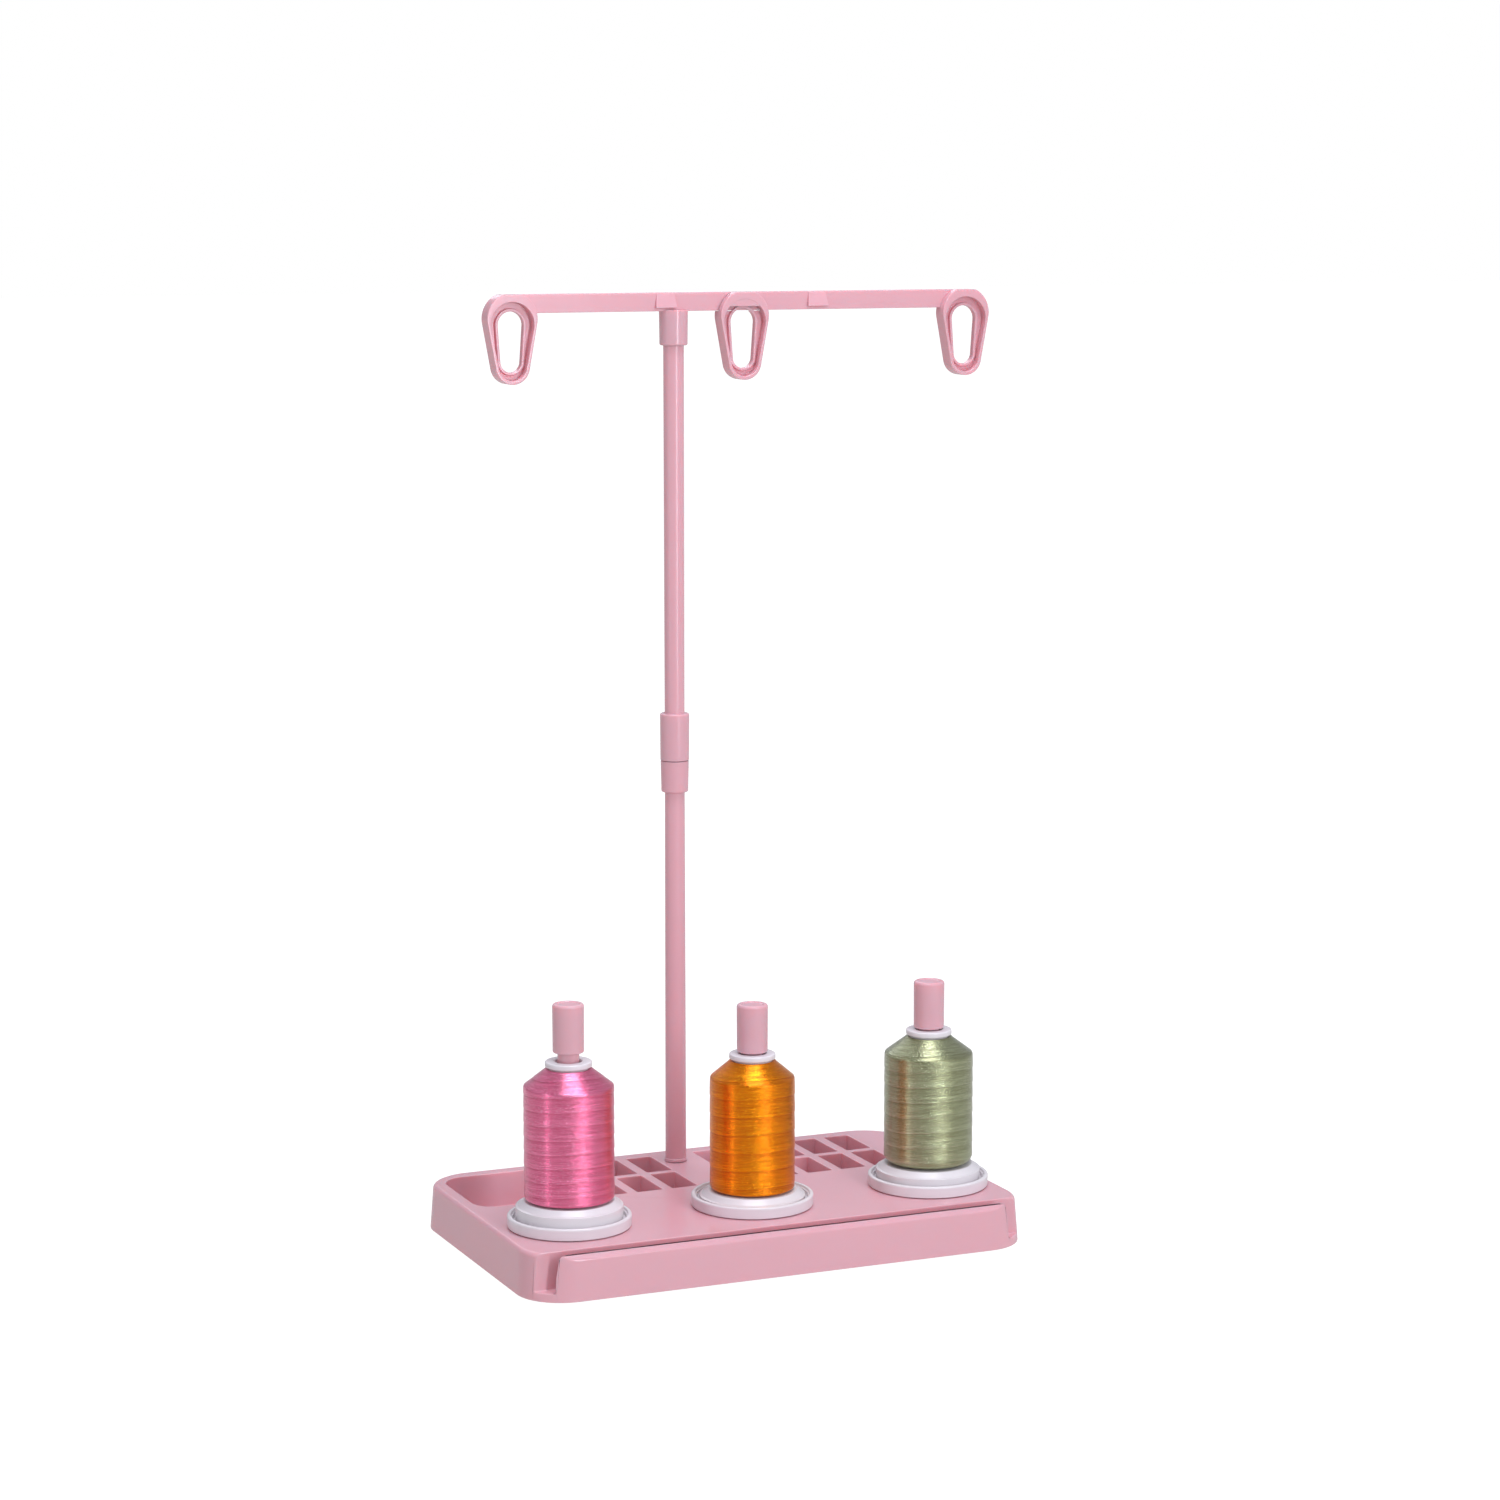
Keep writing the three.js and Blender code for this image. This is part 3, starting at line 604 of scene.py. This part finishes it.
def base():
    rounding = [(DECK_Z - TOP_ROUND + TOP_ROUND * math.sin(a), DRAFT + TOP_ROUND * (1 - math.cos(a)))
                for a in (math.pi / 2 * step / 5 for step in range(6))]
    body = rounded_slab("base_moulding", (-BASE_W / 2, BASE_W / 2), (-BASE_D / 2, BASE_D / 2), CORNER_R,
                        [(RIM_Z, 0), *rounding])
    carve(body, underside())
    for cutter in slot_cutters():
        carve(body, cutter)
    carve(body, rounded_slab("tray", TRAY_X, TRAY_Y, TRAY_R,
                             ((TRAY_FLOOR_Z, 0.8), (DECK_Z, 0), (ABOVE_Z, 0))))
    carve(body, front_cut())
    carve(body, drum("socket", 0, POLE_Y, POLE_SOCKET_R, (SOCKET_FLOOR_Z, ABOVE_Z)))
    for side in SIDES:
        x, y = spool_spot(side)
        carve(body, drum("socket", x, y, PIN_SOCKET_R, (SOCKET_FLOOR_Z, ABOVE_Z)))
    for x, y in FEET.values():
        carve(body, drum("pocket", x, y, FOOT_R + GAP, (-1, RIM_Z + FOOT_POCKET_H)))
    soften(body, 0.5, 3)
    smooth(body)
    hand_over(body, PINK, "pink_plastic", "base", "base_shell")


def feet():
    for name, (x, y) in FEET.items():
        profile = [(0, 0.4), (4.4, 0.4), (4.9, 0, 0.15), (FOOT_R, 0, 0.5), (FOOT_R, 2, 0.2), (0, 2)]
        foot = turned(f"rubber_foot_{name}", x, y, profile, 48)
        smooth(foot)
        hand_over(foot, RUBBER, "rubber_pad", "base", f"foot_{name}")


# ================= pins, caps and spools =================

def spool_spot(side):
    low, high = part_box(f"spool_pin_{side}")
    return (low.x + high.x) / 2 / MM - MIDDLE_X / MM, (low.y + high.y) / 2 / MM


def heights(node):
    low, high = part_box(node)
    return low.z / MM, high.z / MM


def radius_of(node):
    low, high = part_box(node)
    return (high.y - low.y) / 2 / MM


def pin(side):
    x, y = spool_spot(side)
    low, high = heights(f"spool_pin_{side}")
    seat = DECK_Z + GAP
    profile = [(0, low), (PIN_SPIGOT_R, low, 0.5), (PIN_SPIGOT_R, seat), (PIN_R, seat, 0.15),
               (PIN_R, high, 0.8), (0, high)]
    piece = turned(f"pin_{side}", x, y, profile, 48)
    smooth(piece)
    hand_over(piece, PINK, "pink_plastic", "base", f"spool_pin_{side}")


def cap(side):
    x, y = spool_spot(side)
    low, high = heights(f"pin_cap_{side}")
    r = radius_of(f"pin_cap_{side}")
    bore, dish, ceiling = CAP_BORE_R, high - CAP_DISH, low + CAP_BORE_H
    profile = [(bore, low, 0.3), (r - 0.1, low, 0.7), (r, high, 1.3), (r - 1.9, high, 0.5),
               (r - 2.4, dish, 0.4), (0, dish), (0, ceiling), (bore, ceiling), (bore, low + 0.3)]
    piece = turned(f"cap_{side}", x, y, profile)
    smooth(piece)
    hand_over(piece, PINK, "pink_plastic", f"cap_{side}", f"pin_cap_{side}")


def base_disc(side):
    x, y = spool_spot(side)
    low, high = heights(f"spool_base_{side}")
    r = radius_of(f"spool_base_{side}")
    bore, ledge, floor = DISC_BORE_R, high - 1.1, low + 2.5
    profile = [(bore, low), (r - 0.2, low, 0.6), (r, high, 0.9), (r - 1.7, high, 0.45), (r - 2.0, ledge, 0.2),
               (25.4, ledge, 0.3), (25.3, floor), (bore, floor), (bore, low)]
    piece = turned(f"base_disc_{side}", x, y, profile, 96)
    smooth(piece, 50)
    hand_over(piece, WHITE, "white_plastic", f"spool_{side}", f"spool_base_{side}")


def core(side):
    x, y = spool_spot(side)
    low, high = heights(f"spool_core_{side}")
    r = radius_of(f"spool_core_{side}")
    skirt = heights(f"spool_base_{side}")[0] + 2.8
    bore, tube, rim = CORE_BORE_R, CORE_TUBE_R, CORE_RIM_R
    profile = [(bore, low), (r - 1.6, low), (r - 1.6, skirt), (r - 0.1, skirt, 0.2), (r, low + 2.0, 0.35),
               (r - 1.0, low + 2.3, 0.3), (20.4, low + 4.4, 0.6), (tube, low + 4.8), (tube, high - 2.8),
               (rim, high - 2.4, 0.5), (rim, high, 0.7), (6.2, high, 0.4), (bore, high - 1.2), (bore, low)]
    piece = turned(f"core_{side}", x, y, profile, 96)
    smooth(piece, 50)
    hand_over(piece, WHITE, "white_plastic", f"spool_{side}", f"spool_core_{side}")


def strand_line(start_point, end_point):
    """Points from one (radius, height) to another, swelling once for each turn of thread."""
    a, b = Vector(start_point), Vector(end_point)
    out = Vector((b.y - a.y, a.x - b.x)).normalized()
    turns = max(1, round((b - a).length / STRAND))
    points = []
    for step in range(turns * 4):
        swell = (0.0, 0.75, 1.0, 0.75)[step % 4] * RIDGE
        points.append(tuple(a.lerp(b, step / (turns * 4)) + out * (swell - RIDGE)))
    return points


def winding(side):
    x, y = spool_spot(side)
    low, high = heights(f"thread_{side}")
    r = radius_of(f"thread_{side}") - 0.05
    inner, shoulder, foot_round = THREAD_INNER_R, high - SHOULDER_DROP, FOOT_ROUND[side]
    profile = [(inner, low)]
    for step in range(5):
        a = math.pi / 2 * step / 5
        profile.append((r - foot_round * 0.8 * (1 - math.sin(a)), low + foot_round * (1 - math.cos(a))))
    profile += strand_line((r, low + foot_round), (r, shoulder - 0.6))
    profile += strand_line((r - 0.15, shoulder), (inner + 0.9, high - 0.1))
    profile += [(inner + 0.7, high - 0.1), (inner, high - 0.2), (inner, low)]
    piece = turned(f"wound_{side}", x, y, profile, THREAD_STEPS)
    relief(piece, x, y, r, LAYER[side])
    map_winding(piece, x, y, r)
    smooth(piece, 60)
    hand_over(piece, THREADS[side], THREAD_SLOTS[side], f"spool_{side}", f"thread_{side}")


def layer_height(x, y, z):
    """Height up the winding at a point about its axis, as the turns of thread waver a little."""
    angle = math.atan2(y, x)
    return z + 0.9 * math.sin(angle + z * 0.004) + 0.5 * math.sin(2 * angle + 1.3)


def relief(piece, x, y, r, layer):
    """Lets the winding's layers overlap in tilted steps and dip a little between them."""
    centre = place(x, y, 0)
    for vertex in piece.data.vertices:
        across = Vector((vertex.co.x - centre.x, vertex.co.y - centre.y))
        if across.length < (r - 10) * MM or across.length < 11 * MM:
            continue
        step = (layer_height(*across, vertex.co.z / MM) / layer) % 1.0
        unit = across.normalized() * 2
        wave = noise.noise(Vector((unit.x, unit.y, vertex.co.z * 160)))
        across *= 1 - (0.2 * step ** 2 + 0.07 * max(0.0, wave)) * MM / across.length
        vertex.co.x = centre.x + across.x
        vertex.co.y = centre.y + across.y


def map_winding(piece, x, y, r):
    """A map in millimetres: round the winding, and up its wavering turns."""
    centre = place(x, y, 0)
    layer = piece.data.uv_layers.new(name="winding")
    mesh = piece.data
    for face in mesh.polygons:
        middle = math.atan2(face.center.y - centre.y, face.center.x - centre.x)
        for loop in face.loop_indices:
            at = mesh.vertices[mesh.loops[loop].vertex_index].co - centre
            turn = math.atan2(at.y, at.x) - middle
            turn = (turn + math.pi) % (2 * math.pi) - math.pi
            layer.data[loop].uv = ((middle + turn) * r, layer_height(at.x, at.y, at.z / MM))


# ================= pole and crossbar =================

def poles():
    low, high = heights("lower_pole")
    seat, spigot = DECK_Z + GAP, POLE_SPIGOT_R
    profile = [(0, low), (spigot, low, 0.4), (spigot, seat), (5.3, seat, 0.15), (5.3, seat + 1.2, 0.35),
               (4.95, seat + 1.5, 0.2), (4.65, COLLAR_Z, 0.3), (6.3, COLLAR_Z, 0.7), (6.6, PARTING_Z, 0.3),
               (spigot, PARTING_Z), (spigot, high, 0.7), (0, high)]
    lower = turned("pole_lower", 0, POLE_Y, profile)
    smooth(lower)
    hand_over(lower, PINK, "pink_plastic", "pole_low", "lower_pole")
    low, top = heights("upper_pole")
    bore, ceiling = POLE_SOCKET_R, high + 1
    profile = [(bore, low), (6.7, low, 0.3), (6.85, STEP_Z, 0.8), (4.65, STEP_Z, 0.3), (4.8, top, 0.5),
               (0, top), (0, ceiling), (bore, ceiling), (bore, low)]
    upper = turned("pole_upper", 0, POLE_Y, profile)
    smooth(upper)
    hand_over(upper, PINK, "pink_plastic", "pole_high", "upper_pole")


def guide_ring(name, x):
    front, back = GUIDE_Y
    web = front + GUIDE_RECESS
    lip = tuple((z, r + GUIDE_LIP_WIDTH) for z, r in GUIDE_HOLE)
    raised, web_back = web - GUIDE_LIP_LIFT, web + GUIDE_WEB
    rings = [(GUIDE_OUTER, back), (GUIDE_OUTER, front), (GUIDE_POCKET, front), (GUIDE_POCKET, web),
             (lip, web), (lip, raised), (GUIDE_HOLE, raised), (GUIDE_HOLE, web_back),
             (GUIDE_POCKET, web_back), (GUIDE_POCKET, back), (GUIDE_OUTER, back)]
    ring = teardrop_ring(name, x, rings)
    edit(ring)
    bpy.ops.mesh.select_all(action="SELECT")
    bpy.ops.mesh.bisect(plane_co=place(x, 0, BAR_Z[1]), plane_no=(0, 0, 1), clear_outer=True, use_fill=True)
    close_shape()
    soften(ring, 0.35, 3)
    return ring


def ramp(x):
    """A small ramp on the bar's front, narrower and flush at its top."""
    low, high = BAR_Z[0] + 1.6, BAR_Z[1] - 0.1
    piece = block("ramp", (x - RAMP_HALF, x + RAMP_HALF), (BAR_Y[0] - RAMP_DEPTH, BAR_Y[0] + 1), (low, high))
    middle = place(x, 0, 0).x
    edit(piece)
    pick("FACE", lambda f: f.normal.z > 0.9)
    bpy.ops.transform.resize(value=(RAMP_TOP_HALF / RAMP_HALF, 1, 1), center_override=(middle, 0, high * MM))
    pick("VERT", lambda v: v.co.z > (high - 1) * MM and v.co.y < BAR_Y[0] * MM)
    bpy.ops.transform.translate(value=(0, RAMP_LEAN * MM, 0))
    close_shape()
    soften(piece, 0.25, 2)
    return piece


def crossbar():
    left, right = BAR_MIDDLE_X - GUIDE_PITCH, BAR_MIDDLE_X + GUIDE_PITCH
    bar = block("crossbar_moulding", (left, right), BAR_Y, BAR_Z)
    soften(bar, 0.35, 3)
    for x in (left, right):
        carve(bar, teardrop_ring("pocket", x, [(GUIDE_POCKET, BAR_Y[1] + 1), (GUIDE_POCKET, BAR_Y[0] - 1)]))
    joined_z = BAR_Z[0] + 0.5
    socket = turned("socket", 0, POLE_Y,
                    [(0, BAR_SOCKET_Z), (6.5, BAR_SOCKET_Z, 0.8), (6.7, joined_z), (0, joined_z)])
    for part in (guide_ring("ring", left), guide_ring("ring", right), socket,
                 ramp(BAR_MIDDLE_X - RAMP_OFFSET), ramp(BAR_MIDDLE_X + RAMP_OFFSET)):
        carve(bar, part, "UNION")
    carve(bar, drum("bore", 0, POLE_Y, BAR_BORE_R, (400, BAR_BORE_TOP_Z), TURN_STEPS))
    carve(bar, block("clip_slot", (BAR_MIDDLE_X - CLIP_SLOT_HALF, BAR_MIDDLE_X + CLIP_SLOT_HALF),
                     (BAR_Y[0] - 2, BAR_Y[1] + 2), CLIP_SLOT_Z))
    smooth(bar)
    hand_over(bar, PINK, "pink_plastic", "bar", "crossbar")


def middle_guide():
    x = BAR_MIDDLE_X
    guide = guide_ring("clip_on_guide", x)
    carve(guide, guide_pad(x), "UNION")
    carve(guide, block("bar_room", (x - 20, x + 20), (BAR_Y[0] - GAP, BAR_Y[1] + 5),
                       (BAR_Z[0] - GAP, BAR_Z[1] + 5)))
    across, behind = (x - TONGUE_HALF, x + TONGUE_HALF), BAR_Y[1] + TONGUE_PAST_BAR
    tongue = block("tongue", across, (BAR_Y[0] - 1, behind), TONGUE_Z)
    soften(tongue, 0.2)
    carve(guide, tongue, "UNION")
    barb = block("barb", across, (BAR_Y[1] + GAP, behind), (TONGUE_Z[0], BARB_TOP_Z))
    carve(guide, barb, "UNION")
    smooth(guide)
    hand_over(guide, PINK, "pink_plastic", "bar", "middle_guide")


def guide_pad(x):
    """The solid front of the clip-on guide, over the bar. Its round edge is buried in the ring's wall."""
    centre_z, pocket_r = GUIDE_OUTER[0][0], GUIDE_POCKET[0][1]
    front, back = GUIDE_Y[0] + 0.1, BAR_Y[0] + 1
    pad = start(bpy.ops.mesh.primitive_cylinder_add, "pad", vertices=96, radius=(pocket_r + 0.8) * MM,
                depth=(back - front) * MM, location=place(x, (front + back) / 2, centre_z),
                rotation=(math.pi / 2, 0, 0))
    bpy.ops.object.transform_apply(location=True, rotation=True, scale=True)
    edit(pad)
    for edge_z, side in ((BAR_Z[0] + PAD_LIP, "clear_inner"), (BAR_Z[1] - 1.5, "clear_outer")):
        bpy.ops.mesh.select_all(action="SELECT")
        bpy.ops.mesh.bisect(plane_co=place(x, 0, edge_z), plane_no=(0, 0, 1), use_fill=True, **{side: True})
    close_shape()
    soften(pad, 0.3, 2)
    return pad


# ================= studio =================

def area_light(name, azimuth, elevation, distance, width, height, watts, aim):
    """A soft box standing off the object at a bearing, 0 in front and 90 to the right."""
    a, e = math.radians(azimuth), math.radians(elevation)
    away = Vector((math.sin(a) * math.cos(e), -math.cos(a) * math.cos(e), math.sin(e)))
    data = bpy.data.lights.new(name, "AREA")
    data.shape, data.size, data.size_y, data.energy = "RECTANGLE", width, height, watts
    data.color = COOL_WHITE
    lamp = bpy.data.objects.new(name, data)
    bpy.context.scene.collection.objects.link(lamp)
    lamp.location = aim + away * distance
    lamp.rotation_euler = away.to_track_quat("Z", "Y").to_euler()
    lamp.visible_camera = False


def studio():
    aim = place(0, 0, AIM_Z)
    for light in LIGHTS:
        area_light(*light, aim)
    world = bpy.data.worlds.new("studio")
    bpy.context.scene.world = world
    world.use_nodes = True
    tree = world.node_tree
    tree.nodes.clear()
    glow = put(tree, "Background", Color=(*COOL_WHITE, 1), Strength=WORLD_GLOW)
    seen = put(tree, "Background", Color=(1, 1, 1, 1), Strength=WORLD_SEEN)
    split = tree.nodes.new("ShaderNodeMixShader")
    connect(tree, split.inputs[0], put(tree, "LightPath").outputs["Is Camera Ray"])
    connect(tree, split.inputs[1], glow.outputs[0])
    connect(tree, split.inputs[2], seen.outputs[0])
    connect(tree, put(tree, "OutputWorld").inputs["Surface"], split.outputs[0])
    floor = start(bpy.ops.mesh.primitive_plane_add, "floor", size=30)
    floor_material, tree, shader = blank_material("pale_floor")
    shader.inputs["Base Color"].default_value = (0.12, 0.12, 0.12, 1)
    shader.inputs["Roughness"].default_value = 0.9
    shader.inputs["Emission Color"].default_value = (1, 1, 1, 1)
    connect(tree, shader.inputs["Emission Strength"],
            remap(tree, put(tree, "LightPath").outputs["Is Camera Ray"], 0.0, 1.0, FLOOR_GLOW, FLOOR_SEEN))
    floor.data.materials.append(floor_material)


def camera():
    data = bpy.data.cameras.new("view")
    view = bpy.data.objects.new("view", data)
    bpy.context.scene.collection.objects.link(view)
    data.lens, data.sensor_width = LENS, SENSOR
    view.location = place(*CAMERA_AT)
    view.rotation_euler = (math.radians(90 - CAMERA_DOWN), 0, math.radians(-CAMERA_RIGHT))
    bpy.context.scene.camera = view
    bpy.context.scene.view_settings.view_transform = "Standard"


camera()
studio()
base()
feet()
for side in SIDES:
    pin(side)
    cap(side)
    base_disc(side)
    core(side)
    winding(side)
poles()
crossbar()
middle_guide()
